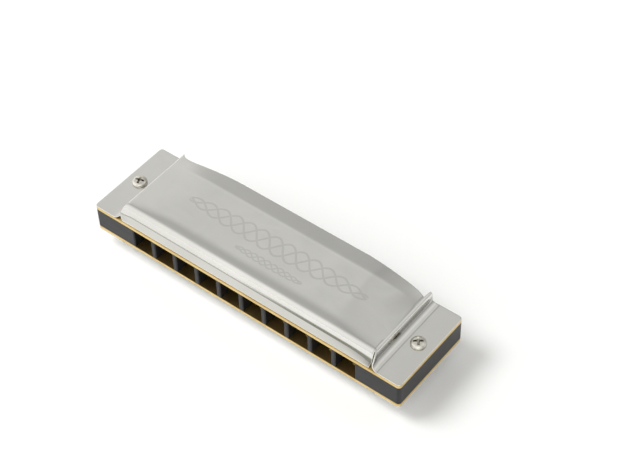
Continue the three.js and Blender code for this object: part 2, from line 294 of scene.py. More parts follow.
def clean(obj, distance=0.002 * MM):
    """Welds doubled points and makes the faces point outwards."""
    with editing(obj) as bm:
        bmesh.ops.remove_doubles(bm, verts=bm.verts, dist=distance)
        bmesh.ops.dissolve_degenerate(bm, edges=bm.edges, dist=distance / 4)
        bmesh.ops.recalc_face_normals(bm, faces=bm.faces)
    return obj


def sharpen(obj, degrees):
    """Edges steeper than this stay sharp in the shading."""
    with editing(obj) as bm:
        for edge in bm.edges:
            if len(edge.link_faces) == 2:
                edge.smooth = edge.calc_face_angle(0) < radians(degrees)


def weighted_normals(obj, keep_sharp=False):
    """Flat faces stay flat in the shading, and narrow bevels take the turn."""
    modifier = obj.modifiers.new("weighted", "WEIGHTED_NORMAL")
    modifier.weight = 90
    modifier.keep_sharp = keep_sharp
    return obj


def arc(x, y, across, up, start, end, steps):
    """Points of an ellipse's arc about (x, y), between two angles."""
    angles = [start + (end - start) * i / steps for i in range(steps + 1)]
    return [(x + across * cos(a), y + up * sin(a)) for a in angles]


def ring_faces(first, count, rings, stride):
    """Quads between rings of count points: the first starts at point first, each next a stride on."""
    faces = []
    for low in range(first, first + stride * (rings - 1), stride):
        for i in range(count):
            j = (i + 1) % count
            faces.append((low + i, low + j, low + stride + j, low + stride + i))
    return faces


def capped_rings(name, rings, smooth=True):
    """A closed surface over equal rings of points, with a flat face at each end."""
    count = len(rings[0])
    points = [point for ring in rings for point in ring]
    faces = ring_faces(0, count, len(rings), count)
    faces += [tuple(range(count)), tuple(range(len(points) - count, len(points)))]
    return clean(mesh_object(name, points, faces, smooth))


def pointed_rings(name, bottom, rings, top):
    """A closed surface over equal rings of points, with a point on the axis at each end."""
    count = len(rings[0])
    points = [(0, 0, bottom), *(p for ring in rings for p in ring), (0, 0, top)]
    last = len(points) - 1 - count
    faces = ring_faces(1, count, len(rings), count)
    for i in range(count):
        j = (i + 1) % count
        faces.append((0, 1 + j, 1 + i))
        faces.append((last + i, last + j, len(points) - 1))
    return clean(mesh_object(name, points, faces))


def stand(obj, node, z, turn=0.0, upside_down=False):
    """Moves a mesh made at the origin to a node's middle, at height z."""
    middle = centre_of(node)
    place = Matrix.Translation((middle.x * MM, middle.y * MM, z * MM))
    if upside_down:
        place = place @ Matrix.Rotation(pi, 4, "X")
    obj.data.transform(place @ Matrix.Rotation(radians(turn), 4, "Z"))


def show(obj, material, node, rides=True):
    """Gives a finished piece its material, parents it to the root body if it rides, and hides the CAD
    node that it stands for.
    """
    obj.data.materials.clear()
    obj.data.materials.append(material)
    if rides:
        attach(obj, ROOT)
    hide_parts(node)


# ---- Cover sheet

def crease_arc():
    """The rounded inner corner between the lip and the front wall, as (y, z) points."""
    lip = Vector((CREASE_Y - LIP_Y, CREASE_Z)).normalized()
    wall = Vector((cos(BEND_START), sin(BEND_START)))
    turn = wall.angle(lip)
    reach = CREASE_RADIUS * tan(turn / 2)
    corner = Vector((CREASE_Y, CREASE_Z))
    centre = corner - lip * reach + Vector((-lip.y, lip.x)) * CREASE_RADIUS
    start = atan2(lip.y, lip.x) - QUARTER
    return arc(*centre, CREASE_RADIUS, CREASE_RADIUS, start, start + turn, CREASE_STEPS)


def easing(start, steps=12):
    """(y, z) points that ease the bend's last slope into the main panel's."""
    reach = PANEL_Y - start[0]
    slopes = (tan(BEND_END) * reach, PANEL_SLOPE * reach)
    points = []
    for i in range(1, steps + 1):
        t = i / steps
        rise = (3 - 2 * t) * t * t
        z = start[1] + (PANEL_Z - start[1]) * rise
        z += slopes[0] * t * (1 - t) ** 2 - slopes[1] * t * t * (1 - t)
        points.append((start[0] + reach * t, z))
    return points


def front_profile():
    """(y, z) points of the folded front, from the lip's edge to the start of the main panel."""
    crease = crease_arc()
    angles = (QUARTER + BEND_START, QUARTER + BEND_END)
    bend = arc(BEND_Y, BEND_Z, BEND_RADIUS, BEND_RADIUS, *angles, 20)
    low = crease[0]
    lip = [(LIP_Y + (low[0] - LIP_Y) * share, low[1] * share) for share in LIP_SHARES]
    low = crease[-1]
    rise = (bend[0][0] - low[0], bend[0][1] - low[1])
    wall = [(low[0] + rise[0] * share, low[1] + rise[1] * share) for share in WALL_SHARES]
    return lip + crease + wall + bend + easing(bend[-1])


PANEL_SLOPE = (FOLD_Z - PANEL_Z) / (FOLD_Y - PANEL_Y)
REAR_SLOPE = (REAR_Z - FOLD_Z) / (REAR_Y - FOLD_Y)
PROFILE = front_profile()
TOP_END_X = WALL_X - END_RADIUS * (1 - sin(END_SLOPE))
END_BEND_X = TOP_END_X - END_RADIUS * sin(END_SLOPE)
END_BEND_Z = END_Z - END_RADIUS * cos(END_SLOPE)
WALL_LENGTH = END_BEND_Z - FOOT_HEIGHT


def end_shape(x):
    """The shape values of the cover's end on x's side."""
    return END_SHAPES[1 if x > 0 else -1]


def panel_height(y):
    """Height of the main panel and rear flange at the middle of the cover."""
    z = FOLD_Z + (PANEL_SLOPE if y < FOLD_Y else REAR_SLOPE) * (y - FOLD_Y)
    near = max(0.0, 1 - abs(y - FOLD_Y) / FOLD_SOFTNESS)
    return z - (PANEL_SLOPE - REAR_SLOPE) * FOLD_SOFTNESS / 4 * near * near


def past(x, start):
    """How far x has come from start towards the cover's end, from 0 to 1."""
    return max(0.0, (abs(x) - start) / (TOP_END_X - start))


def droop(x):
    """How far the top has come down towards the end walls, from 0 to 1."""
    t = past(x, DROOP_START)
    return (1 + DROOP_EASE) * t * t / (t + DROOP_EASE)


def rear_edge(x):
    """Y of the rear edge: its ends curve forward, and step at the ear."""
    t = past(x, SCALLOP_START)
    edge = REAR_Y - HALF_SHEET - SCALLOP_DEPTH * t ** SCALLOP_POWER
    return edge - end_shape(x).ear_step * t ** EAR_STEP_POWER


def panel_point(x, y):
    z = panel_height(y)
    return (x, y, z - (z - END_Z) * droop(x))


def end_height(y, z):
    """Height at the cover's ends of a front profile point that is at (y, z) in the middle."""
    t = clamp((y - SLIT_Y) / (PANEL_Y - SLIT_Y))
    return z * (END_FRONT_SCALE + (END_Z / PANEL_Z - END_FRONT_SCALE) * t)


def lip_sink(x, z):
    """How far the folded front sinks towards its ends: most at the crease, and less above it."""
    shape = end_shape(x)
    eased = smoothstep(shape.sink_start, SINK_EASED_X, abs(x))
    last = smoothstep(SINK_LAST_X, TOP_END_X, abs(x))
    low = z / CREASE_Z if z < CREASE_Z else max(0.0, 1 - (z - CREASE_Z) / SINK_FADE_HEIGHT) ** 2
    return low * shape.sink * ((1 - SINK_LAST_SHARE) * eased + SINK_LAST_SHARE * last)


def flap_end(x, z):
    """Where the folded front ends along X, on x's side, for a profile point at height z."""
    shape = end_shape(x)
    height = clamp((z - CREASE_Z) / (SPREAD_Z - CREASE_Z))
    end = shape.flap_end + shape.spread * (1 - height)
    return end - shape.lip_cut * max(0.0, 1 - z / CREASE_Z) ** LIP_CUT_POWER


def flap_point(x, row):
    """A point of the folded front, at one of the profile's rows."""
    y, z = PROFILE[row]
    sink = lip_sink(x, z)
    lowered = z - (z - end_height(y, z)) * droop(x) - SINK_DOWN * sink
    if y < SLIT_Y:
        x += copysign(past(x, DROOP_START) * (flap_end(x, z) - TOP_END_X), x)
    return (x, y - SINK_FORWARD * sink, max(lowered, 0.0))


def panel_columns():
    """X of the columns of points, closer where the top comes down towards the ends."""
    inner = np.linspace(0, DROOP_START, 26)
    outer = np.linspace(DROOP_START, TOP_END_X, 22)
    half = [*inner.tolist(), *outer[1:].tolist()]
    return [-x for x in reversed(half[1:])] + half


def panel_rows(y_end):
    """Y of the rows of the main panel and the rear flange, closer at the fold and the rear edge."""
    flat = np.linspace(PANEL_Y, FOLD_Y - FOLD_SOFTNESS, 22)
    fold = np.linspace(FOLD_Y - FOLD_SOFTNESS, FOLD_Y + FOLD_SOFTNESS, 9)[1:]
    share = np.array([0.2, 0.4, 0.6, 0.78, 0.9, 0.97, 1.0])
    rear = FOLD_Y + FOLD_SOFTNESS + (y_end - FOLD_Y - FOLD_SOFTNESS) * share
    return [*flat.tolist(), *fold.tolist(), *rear.tolist()]


def strip_point(share, top):
    """A point of the end wall and its upper bend in (x, z), at a share of the way up to height top."""
    if top <= END_BEND_Z:
        reach = top - FOOT_HEIGHT
    else:
        reach = WALL_LENGTH + END_RADIUS * asin(min(1.0, (top - END_BEND_Z) / END_RADIUS))
    along = share * reach
    if along <= WALL_LENGTH:
        return (WALL_X, FOOT_HEIGHT + along)
    a = (along - WALL_LENGTH) / END_RADIUS
    return (END_BEND_X + END_RADIUS * cos(a), END_BEND_Z + END_RADIUS * sin(a))


def strip_shares():
    """Shares of the way up the end wall and its bend, closer on the bend."""
    bend_length = END_RADIUS * (QUARTER - END_SLOPE)
    split = WALL_LENGTH / (WALL_LENGTH + bend_length)
    return [*np.linspace(0, split, 6).tolist(), *np.linspace(split, 1, 11)[1:].tolist()]


def foot_columns():
    """(x, z) of the fillet and the tab, from the wall outwards, with the length along the sheet."""
    fillet = arc(WALL_X + FOOT_REACH, FOOT_HEIGHT, -FOOT_REACH, -FOOT_HEIGHT, 0, QUARTER, 24)
    corner = LENGTH_HALF - TAB_CORNER
    radius = TAB_CORNER - HALF_SHEET
    flat = [(float(x), 0.0) for x in np.linspace(fillet[-1][0], corner, 12)[1:]]
    rounded = [(corner + radius * sin(QUARTER * i / 10), 0.0) for i in range(1, 11)]
    points = []
    along = 0.0
    before = fillet[0]
    for here in fillet + flat + rounded:
        along += dist(before, here)
        points.append((*here, along))
        before = here
    return points


def tab_round(x):
    """How far the tab's rounded outer corner pulls its long edges in at x."""
    radius = TAB_CORNER - HALF_SHEET
    over = max(0.0, x - (LENGTH_HALF - TAB_CORNER))
    return radius - sqrt(max(0.0, radius * radius - over * over))


def foot_front(x, along, wall_front, power):
    """The fillet's and tab's front edge: a rounded corner beside the notch, then straight."""
    edge = -DEPTH_HALF + HALF_SHEET
    share = sin(QUARTER * min(1.0, along / CORNER_REACH)) ** power
    return wall_front + (edge - wall_front) * share + tab_round(x)


def foot_rear(x, along):
    """The fillet's and tab's rear edge: it moves out to the tab's full depth."""
    wall = REAR_Y - HALF_SHEET
    share = smoothstep(EAR_FOOT_START, EAR_FOOT_END, along)
    return wall + (DEPTH_HALF - HALF_SHEET - wall) * share - tab_round(x)


def ear_rear(share, side):
    """Rear edge of the end wall and its bend: the ear's tip is rounded and drops to the panel."""
    shape = END_SHAPES[side]
    wall = REAR_Y - HALF_SHEET
    down = smoothstep(shape.ear_start, 1.0, share) ** shape.ear_power
    return wall - (wall - rear_edge(side * TOP_END_X)) * down


def wall_front_rows(edge_front, steps=16):
    """(y, top height) of the end wall ahead of the main panel, down to the height of its foot."""
    rows = [(y, end_height(y, z)) for y, z in reversed(PROFILE) if y > SLIT_Y]
    lowest = acos(FOOT_HEIGHT / EDGE_Z)
    for i in range(1, steps + 1):
        a = lowest * i / steps
        rows.append((SLIT_Y + (edge_front - SLIT_Y) * sin(a) ** EDGE_BULGE, EDGE_Z * cos(a)))
    return rows


def wall_point(share, y, top):
    """A point of the end wall in (x, z): joined to the top behind the slit, cut free ahead of it."""
    if y < SLIT_Y:
        return strip_point(share, top)
    x, z = strip_point(share, END_Z)
    return (x, FOOT_HEIGHT + (z - FOOT_HEIGHT) * (top - FOOT_HEIGHT) / (END_Z - FOOT_HEIGHT))


class Sheet:
    """Collects grid patches of one skin."""

    def __init__(self):
        self.points = []
        self.faces = []

    def patch(self, grid, flip):
        first = len(self.points)
        width = len(grid[0])
        for row in grid:
            self.points.extend(row)
        for i in range(len(grid) - 1):
            for j in range(width - 1):
                a = first + i * width + j
                face = (a, a + 1, a + width + 1, a + width)
                self.faces.append(face[::-1] if flip else face)


def cover_skin():
    """The cover's outer skin, from tab to tab, with the tab tops at z = 0."""
    sheet = Sheet()
    columns = panel_columns()
    rows = zip(*(panel_rows(rear_edge(x)) for x in columns))
    flap = [[flap_point(x, row) for x in columns] for row in range(len(PROFILE))]
    panel = [[panel_point(x, y) for x, y in zip(columns, row)] for row in rows]
    sheet.patch(flap, False)
    sheet.patch(panel, False)
    for side in (-1, 1):
        add_end_rear(sheet, side)
        add_end_front(sheet, side)
    return sheet


def add_end_rear(sheet, side):
    """The end wall, its fillet and the tab on one side, beside the main panel and rear flange."""
    strip = []
    for share in reversed(strip_shares()):
        x, z = strip_point(share, END_Z)
        strip.append([(side * x, y, z) for y in panel_rows(ear_rear(share, side))])
    foot = []
    for x, z, along in foot_columns():
        foot.append([(side * x, y, z) for y in panel_rows(foot_rear(x, along))])
    for columns in (strip, foot):
        sheet.patch(list(zip(*columns)), side < 0)


def add_end_front(sheet, side):
    """The end wall, its fillet and the tab on one side, ahead of the main panel."""
    shape = END_SHAPES[side]
    shares = list(reversed(strip_shares()))
    front_rows = wall_front_rows(shape.edge_front)
    wall_front = front_rows[-1][0]
    wall = []
    foot = []
    for y, z in front_rows:
        share_y = (y - PANEL_Y) / (wall_front - PANEL_Y)
        flare = side * shape.flare * smoothstep(SLIT_Y, shape.edge_front, y)
        wall.append([(side * x + flare, y, h) for x, h in (wall_point(share, y, z) for share in shares)])
        foot.append([])
        for x, h, along in foot_columns():
            edge = foot_front(x, along, wall_front, shape.corner_power)
            foot[-1].append((side * x + flare * h / FOOT_HEIGHT, PANEL_Y + (edge - PANEL_Y) * share_y, h))
    sheet.patch(wall, side > 0)
    sheet.patch(foot, side > 0)


def rim_directions(bm):
    """For each point on the skin's boundary, the sum of the directions away from the sheet."""
    outward = {}
    for edge in bm.edges:
        if not edge.is_boundary:
            continue
        loop = edge.link_loops[0]
        along = (loop.link_loop_next.vert.co - loop.vert.co).normalized()
        away = along.cross(loop.face.normal)
        for v in edge.verts:
            outward[v] = outward.get(v, Vector()) + away
    return outward


def thicken(obj, thickness, rim_steps=6):
    """Gives an open skin its thickness, downwards, with a half-round rim along every edge."""
    half = thickness / 2
    with editing(obj) as bm:
        bm.normal_update()
        skin = list(bm.verts)
        boundary = [edge for edge in bm.edges if edge.is_boundary]
        outward = rim_directions(bm)
        normals = {v: v.normal.copy() for v in skin}
        inner = {v: bm.verts.new(v.co - normals[v] * thickness) for v in skin}
        for face in list(bm.faces):
            bm.faces.new([inner[v] for v in reversed(face.verts)])
        rings = {}
        for v, away in outward.items():
            away = (away - normals[v] * away.dot(normals[v])).normalized()
            rings[v] = [v]
            for i in range(1, rim_steps):
                a = pi * i / rim_steps
                drop = normals[v] * half * (1 - cos(a))
                rings[v].append(bm.verts.new(v.co - drop + away * half * sin(a)))
            rings[v].append(inner[v])
        for edge in boundary:
            loop = edge.link_loops[0]
            a, b = rings[loop.vert], rings[loop.link_loop_next.vert]
            for i in range(rim_steps):
                bm.faces.new((b[i], a[i], a[i + 1], b[i + 1]))
        for face in bm.faces:
            face.smooth = True


def front_painted_shade(x, row):
    """How dark a point of the folded front is painted, from 0 to 1: painted dark reflection at the lip,
    in the crease and under the veil.
    """
    crease_row = len(LIP_SHARES)
    wall_row = crease_row + CREASE_STEPS + 1
    opened = smoothstep(*CREASE_OPENS_X, x)
    if row < crease_row:
        return LIP_SHADE + LIP_SHADE_RISE * LIP_SHARES[row] ** 2 * smoothstep(*LIP_RISE_X, x)
    if row < wall_row:
        return CREASE_SHADE + (1 - CREASE_SHADE) * opened
    veil = VEIL_SHADE * (1 - smoothstep(*VEIL_FADES_X, x)) * smoothstep(*VEIL_GROWS_Y, PROFILE[row][0])
    return max(veil, opened) if row < wall_row + OPEN_ROWS else veil


def end_wall_painted_shade(point):
    """How far painted dark reflection darkens an end wall at a point, from 0 to 1."""
    x, _, z = point
    if abs(x) <= WALL_X - 0.1:
        return 0.0
    return smoothstep(*END_WALL_SHADE_FOOT_Z, z) * (1 - smoothstep(*END_WALL_SHADE_TOP_Z, z))


def mark_shades(obj, skin):
    """Marks the painted dark reflection at each point of the folded front and of the end walls."""
    columns = panel_columns()
    crease = [front_painted_shade(x, row) for row in range(len(PROFILE)) for x in columns]
    rest = skin.points[len(crease):]
    mark(obj, "crease", crease + [0.0] * len(rest))
    mark(obj, "end_wall_dark_reflection", [0.0] * len(crease) + [end_wall_painted_shade(point) for point in rest])


def make_cover(name, node, material, upper):
    """A cover of bent sheet; the lower one is the same pressing turned over about Y."""
    skin = cover_skin()
    obj = mesh_object(name, skin.points, skin.faces)
    mark_shades(obj, skin)
    clean(obj)
    if sum(p.normal.z * p.area for p in obj.data.polygons) < 0:
        obj.data.flip_normals()
    thicken(obj, SHEET * MM)
    weighted_normals(obj)
    lift = Matrix.Translation((0, 0, TAB_TOP * MM))
    obj.data.transform(lift if upper else Matrix.Rotation(pi, 4, "Y") @ lift)
    show(obj, material, node)


# ---- Flat plates with holes

def round_corners(points, radii, steps=5):
    """A closed outline with an arc at each corner."""
    rounded = []
    count = len(points)
    for i, radius in enumerate(radii):
        corner = Vector(points[i])
        back = (Vector(points[i - 1]) - corner).normalized()
        ahead = (Vector(points[(i + 1) % count]) - corner).normalized()
        half = back.angle(ahead) / 2
        reach = radius / tan(half)
        centre = corner + (back + ahead).normalized() * (radius / sin(half))
        a = corner + back * reach - centre
        b = corner + ahead * reach - centre
        turn = a.angle_signed(b)
        for k in range(steps + 1):
            t = -turn * k / steps
            c, s = cos(t), sin(t)
            rounded.append((centre.x + a.x * c - a.y * s, centre.y + a.x * s + a.y * c))
    return rounded


def rounded_rectangle(x0, y0, x1, y1, radius, steps):
    return round_corners([(x0, y0), (x1, y0), (x1, y1), (x0, y1)], [radius] * 4, steps)


def circle(x, y, radius, steps=32):
    return arc(x, y, radius, radius, 0, 2 * pi, steps)[:-1]


def inset(loop, distance):
    """Moves a closed outline sideways, towards its left."""
    moved = []
    for i in range(len(loop)):
        p = Vector(loop[i])
        before = (p - Vector(loop[i - 1])).normalized()
        after = (Vector(loop[(i + 1) % len(loop)]) - p).normalized()
        normal = Vector((-before.y, before.x)) + Vector((-after.y, after.x))
        q = p + normal * (2 * distance / normal.length_squared)
        moved.append((q.x, q.y))
    return moved


def inside(point, loops):
    """Whether a point lies on the material, by the even-odd rule."""
    x, y = point
    crossings = 0
    for loop in loops:
        for a, b in zip(loop, loop[1:] + loop[:1]):
            if (a[1] > y) != (b[1] > y) and x < (b[0] - a[0]) * (y - a[1]) / (b[1] - a[1]) + a[0]:
                crossings += 1
    return crossings % 2 == 1


def cap_triangles(loops):
    """Triangles over the material between closed outlines, as indices into all their points."""
    points = [Vector(p) for loop in loops for p in loop]
    edges = []
    first = 0
    for loop in loops:
        edges += [(first + i, first + (i + 1) % len(loop)) for i in range(len(loop))]
        first += len(loop)
    verts, _, tris, source, _, _ = delaunay_2d_cdt(points, edges, [], 0, 1e-7)
    kept = []
    for tri in tris:
        middle = sum((verts[i] for i in tri), Vector((0, 0))) / 3
        if inside(middle, loops):
            kept.append([source[i][0] for i in tri])
    return kept


def slab(name, outer, holes, z0, z1, round_edge, steps=3):
    """A flat plate between z0 and z1 with rounded edges; outlines run anticlockwise."""
    loops = [outer, *(hole[::-1] for hole in holes)]
    levels = arc(round_edge, z0 + round_edge, round_edge, round_edge, -QUARTER, -pi, steps)
    levels += [(pull, z0 + z1 - z) for pull, z in reversed(levels)]
    points = [(x, y, z) for pull, z in levels for loop in loops for x, y in inset(loop, pull)]
    stride = len(points) // len(levels)
    top = len(points) - stride
    faces = []
    first = 0
    for loop in loops:
        faces += ring_faces(first, len(loop), len(levels), stride)
        first += len(loop)
    for a, b, c in cap_triangles([inset(loop, round_edge) for loop in loops]):
        faces += [(c, b, a), (top + a, top + b, top + c)]
    obj = mesh_object(name, points, faces)
    with editing(obj) as bm:
        bmesh.ops.recalc_face_normals(bm, faces=bm.faces)
    return weighted_normals(obj)


def screw_holes(side):
    """Holes for the two cover screws and for one plate's screws."""
    ends = [centre_of(f"cover_screw_{end}") for end in ("left", "right")]
    small = [centre_of(f"{side}_plate_screw_{i}") for i in range(1, PLATE_SCREWS + 1)]
    holes = [circle(middle.x, 0, COVER_HOLE) for middle in ends]
    return holes + [circle(middle.x, middle.y, PLATE_HOLE, 20) for middle in small]


def make_comb(material):
    """The comb: teeth between chambers that open at the mouth side and reach just past the reeds."""
    low, high = box_mm("comb")
    points = [(-LENGTH_HALF, -DEPTH_HALF)]
    radii = [TAB_CORNER]
    for hole in range(1, HOLES + 1):
        x = centre_of(f"reed_blow_{hole}").x
        left, right = x - CHAMBER_HALF, x + CHAMBER_HALF
        rear = box_mm(f"reed_blow_{hole}")[1].y + CHAMBER_SPARE
        points += [(left, -DEPTH_HALF), (left, rear), (right, rear), (right, -DEPTH_HALF)]
        radii += [MOUTH_RADIUS, CHAMBER_RADIUS, CHAMBER_RADIUS, MOUTH_RADIUS]
    points += [(LENGTH_HALF, -DEPTH_HALF), (LENGTH_HALF, DEPTH_HALF), (-LENGTH_HALF, DEPTH_HALF)]
    radii += [TAB_CORNER] * 3
    outline = round_corners(points, radii, 6)
    obj = slab("comb_body", outline, screw_holes("upper"), low.z, high.z, COMB_EDGE)
    show(obj, material, "comb")


def reed_way(kind):
    """Which way along Y a reed points from its rivet: draw reeds to the rear, blow reeds to the mouth."""
    return 1 if kind == "draw" else -1


def make_reed_plate(side, kind, material):
    """A reed plate, with a slot under each reed's tongue and a hole for each rivet."""
    low, high = box_mm(f"{side}_reed_plate")
    holes = screw_holes(side)
    way = reed_way(kind)
    for hole in range(1, HOLES + 1):
        rivet = centre_of(f"rivet_{kind}_{hole}")
        reed_low, reed_high = box_mm(f"reed_{kind}_{hole}")
        root = rivet.y + way * PAD_LENGTH / 2
        tip = (reed_high.y if way > 0 else reed_low.y) + way * SLOT_GAP
        left, right = rivet.x - SLOT_HALF, rivet.x + SLOT_HALF
        holes.append(rounded_rectangle(left, min(root, tip), right, max(root, tip), SLOT_RADIUS, 3))
        holes.append(circle(rivet.x, rivet.y, RIVET_HOLE, 16))
    outline = rounded_rectangle(-LENGTH_HALF, -DEPTH_HALF, LENGTH_HALF, DEPTH_HALF, TAB_CORNER, 10)
    obj = slab(f"{side}_plate_brass", outline, holes, low.z, high.z, PLATE_EDGE)
    show(obj, material, f"{side}_reed_plate")


# ---- Reeds and rivets

def reed_stations(length):
    """(distance from the rivet, half width, thickness) along a reed, from pad to tip."""
    root = PAD_LENGTH / 2
    pad = [(y - root, half) for y, half in PAD_REAR]
    pad += [(0, PAD_REAR[-1][1])]
    pad += [(root - y, half) for y, half in PAD_FRONT]
    stations = [(y, half, PAD_THICKNESS) for y, half in pad]
    for i in range(1, TONGUE_ROWS + 1):
        t = i / TONGUE_ROWS
        milled = TONGUE_THICKNESS * (1 - TONGUE_MILLING * sin(pi * t))
        step = (PAD_THICKNESS - TONGUE_THICKNESS) * (1 - smoothstep(0.0, TONGUE_STEP_SHARE, t))
        stations.append((root + (length - root) * t, TONGUE_HALF - TONGUE_TAPER * t, milled + step))
    return stations


def make_reed(kind, hole, material):
    """A reed of a riveted pad and a thinner tongue that runs from the end of the pad to its tip."""
    name = f"reed_{kind}_{hole}"
    low, high = box_mm(name)
    rivet = centre_of(f"rivet_{kind}_{hole}")
    way = reed_way(kind)
    length = (high.y - rivet.y) if way > 0 else (rivet.y - low.y)
    rings = []
    for y, half, thickness in reed_stations(length):
        side = half - REED_EDGE
        low_edge = REED_EDGE - thickness
        ring = [
            (-side, 0), (side, 0), (half, -REED_EDGE), (half, low_edge),
            (side, -thickness), (-side, -thickness), (-half, low_edge), (-half, -REED_EDGE),
        ]
        rings.append([(rivet.x + way * x, rivet.y + way * y, high.z + z) for x, z in ring])
    obj = weighted_normals(capped_rings(f"{name}_brass", rings))
    show(obj, material, name, rides=False)
    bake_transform(obj)


def make_rivet(kind, hole, material):
    """A rivet with a domed head under the reed's pad and a clinched end above the plate."""
    node = f"rivet_{kind}_{hole}"
    low, high = box_mm(node)
    head_z = box_mm(f"reed_{kind}_{hole}")[0].z - PAD_AIR
    plate = box_mm("upper_reed_plate" if kind == "blow" else "lower_reed_plate")[1].z
    rim = plate + CLINCH_RIM
    head_height = head_z - HEAD_RIM - low.z
    profile = arc(0, low.z + head_height, RIVET_HEAD, head_height, -QUARTER, 0, 7)[1:]
    profile += [(RIVET_HEAD, head_z), (RIVET_SHANK, head_z), (RIVET_SHANK, plate)]
    profile += [(RIVET_CLINCH, plate), (RIVET_CLINCH, rim)]
    profile += arc(0, rim, RIVET_CLINCH, high.z - rim, 0, QUARTER, 6)[1:-1]
    rings = [[(x, y, z) for x, y in circle(0, 0, r, 24)] for r, z in profile]
    obj = pointed_rings(f"{node}_brass", low.z, rings, high.z)
    stand(obj, node, 0)
    sharpen(obj, 50)
    show(obj, material, node)


# ---- Screws and nuts

def dome(a, sizes):
    """(radius, z) on a pan head's dome, at an angle that runs from 0 at its rim to a quarter turn."""
    radius = sizes.head_radius * cos(a) ** DOME_FLATNESS
    return radius, sizes.rim + (sizes.head_height - sizes.rim) * sin(a) ** DOME_RISE


def head_surface(radius, sizes):
    """Height of a pan head's dome at a distance from its axis."""
    a = acos(min(1.0, radius / sizes.head_radius) ** (1 / DOME_FLATNESS))
    return dome(a, sizes)[1]


def screw_profile(sizes, shank_length):
    """(radius, z, thread depth) rows of a pan-head screw, from the point up to the head's top."""
    shank, head = sizes.shank_radius, sizes.head_radius
    point = -shank_length
    rows = [(shank * 0.55, point, 0.0), (shank * 0.75, point + POINT_BEVEL, 0.0)]
    count = int(sizes.thread_length / sizes.pitch * THREAD_ROWS)
    for i in range(count + 1):
        z = point + THREAD_START + sizes.thread_length * i / count
        fade = min(1.0, i / THREAD_ROWS, (count - i) / THREAD_ROWS)
        rows.append((shank, z, sizes.pitch * THREAD_DEPTH * fade))
    rows += [(shank, -0.02, 0.0), (head - HEAD_EDGE, 0.0, 0.0), (head, HEAD_EDGE, 0.0)]
    rows += [(head, sizes.rim, 0.0)]
    steps = 12
    return rows + [(*dome(QUARTER * i / steps, sizes), 0.0) for i in range(1, steps)]


def screw_blank(name, sizes, shank_length, steps=40):
    """A screw with a turned thread, before its recess is cut."""
    rows = screw_profile(sizes, shank_length)
    rings = []
    for radius, z, depth in rows:
        rings.append([])
        for i in range(steps):
            a = 2 * pi * i / steps
            phase = (z / sizes.pitch - i / steps) % 1
            r = radius - depth * (1 - abs(2 * phase - 1))
            rings[-1].append((r * cos(a), r * sin(a), z))
    return pointed_rings(name, rows[0][1], rings, sizes.head_height)


def cross_cutter(radius, top, depth):
    """A cross-recess punch: wings that narrow downwards, over a short point."""
    # Height, length and half width of the wings, from the top down
    wings = [
        (top + 0.6, radius * 0.80, radius * 0.17),
        (top, radius * 0.68, radius * 0.145),
        (top - depth * 0.75, radius * 0.40, radius * 0.12),
        (top - depth, radius * 0.15, radius * 0.09),
    ]
    turns = [(1, 0), (0, 1), (-1, 0), (0, -1)]
    rings = []
    for z, length, half in wings:
        core = half * 1.35
        quadrant = [(length, -half), (length, half), (core, half), (core, core), (half, core)]
        rings.append([(x * c - y * s, x * s + y * c, z) for c, s in turns for x, y in quadrant])
    return capped_rings("cutter", rings, smooth=False)


def cut(obj, cutter):
    """Cuts one mesh by another and removes the cutter."""
    modifier = obj.modifiers.new("cut", "BOOLEAN")
    modifier.operation = "DIFFERENCE"
    modifier.solver = "EXACT"
    modifier.object = cutter
    bpy.context.view_layer.update()
    done = obj.evaluated_get(bpy.context.evaluated_depsgraph_get())
    mesh = bpy.data.meshes.new_from_object(done)
    obj.modifiers.remove(modifier)
    old = obj.data
    obj.data = mesh
    bpy.data.meshes.remove(old)
    bpy.data.objects.remove(cutter)


def screw_shade(point, sizes):
    """How dark a point of a screw is painted, from 0 to 1: painted shade deep in the recess, and a
    painted contact shadow where the head seats.
    """
    x, y, z = point
    radius = hypot(x, y)
    if z > 0.05 and radius < sizes.head_radius * RECESS_REACH:
        below = head_surface(radius, sizes) - z
        return RECESS_SHADE * smoothstep(0.05, sizes.head_height * 0.4, below)
    if z > -0.01:
        return SEAT_SHADE * (1 - smoothstep(0.0, 0.8 * sizes.rim, z))
    return 0.0


def make_screw(name, node, material, sizes, turn, upside_down=False):
    """A pan-head screw with a cross recess and a turned thread."""
    low, high = box_mm(node)
    obj = screw_blank(name, sizes, high.z - low.z - sizes.head_height)
    cut(obj, cross_cutter(sizes.head_radius, sizes.head_height, sizes.head_height * RECESS_DEPTH))
    mark(obj, "recess", [screw_shade(vertex.co / MM, sizes) for vertex in obj.data.vertices])
    sharpen(obj, 38)
    weighted_normals(obj, keep_sharp=True)
    seat = (low.z + sizes.head_height) if upside_down else (high.z - sizes.head_height)
    stand(obj, node, seat, turn, upside_down)
    show(obj, material, node)


def make_nut(side, material, turn):
    """A chamfered hexagon nut over the end of a cover screw."""
    node = f"cover_nut_{side}"
    low, high = box_mm(node)
    height = high.z - low.z
    lead = NUT_BORE + NUT_LEAD_WIDTH
    sixth = pi / 3
    points = []
    for i in range(NUT_STEPS):
        a = 2 * pi * i / NUT_STEPS
        wrapped = (a + sixth / 2) % sixth - sixth / 2
        edge = min(NUT_FLATS / cos(wrapped), NUT_CORNER)
        fall = (edge - NUT_CROWN) * tan(NUT_CHAMFER)
        section = [
            (NUT_BORE, NUT_LEAD_HEIGHT), (lead, 0), (NUT_CROWN, 0), (edge, fall),
            (edge, height - fall), (NUT_CROWN, height), (lead, height),
            (NUT_BORE, height - NUT_LEAD_HEIGHT),
        ]
        points += [(r * cos(a), r * sin(a), z) for r, z in section]
    corners = len(section)
    faces = ring_faces(0, corners, NUT_STEPS, corners)
    last = len(points) - corners
    for k in range(corners):
        j = (k + 1) % corners
        faces.append((last + k, last + j, j, k))
    obj = clean(mesh_object(f"{node}_hex", points, faces))
    sharpen(obj, 28)
    weighted_normals(obj, keep_sharp=True)
    stand(obj, node, low.z, turn)
    show(obj, material, node)


# ---- Materials

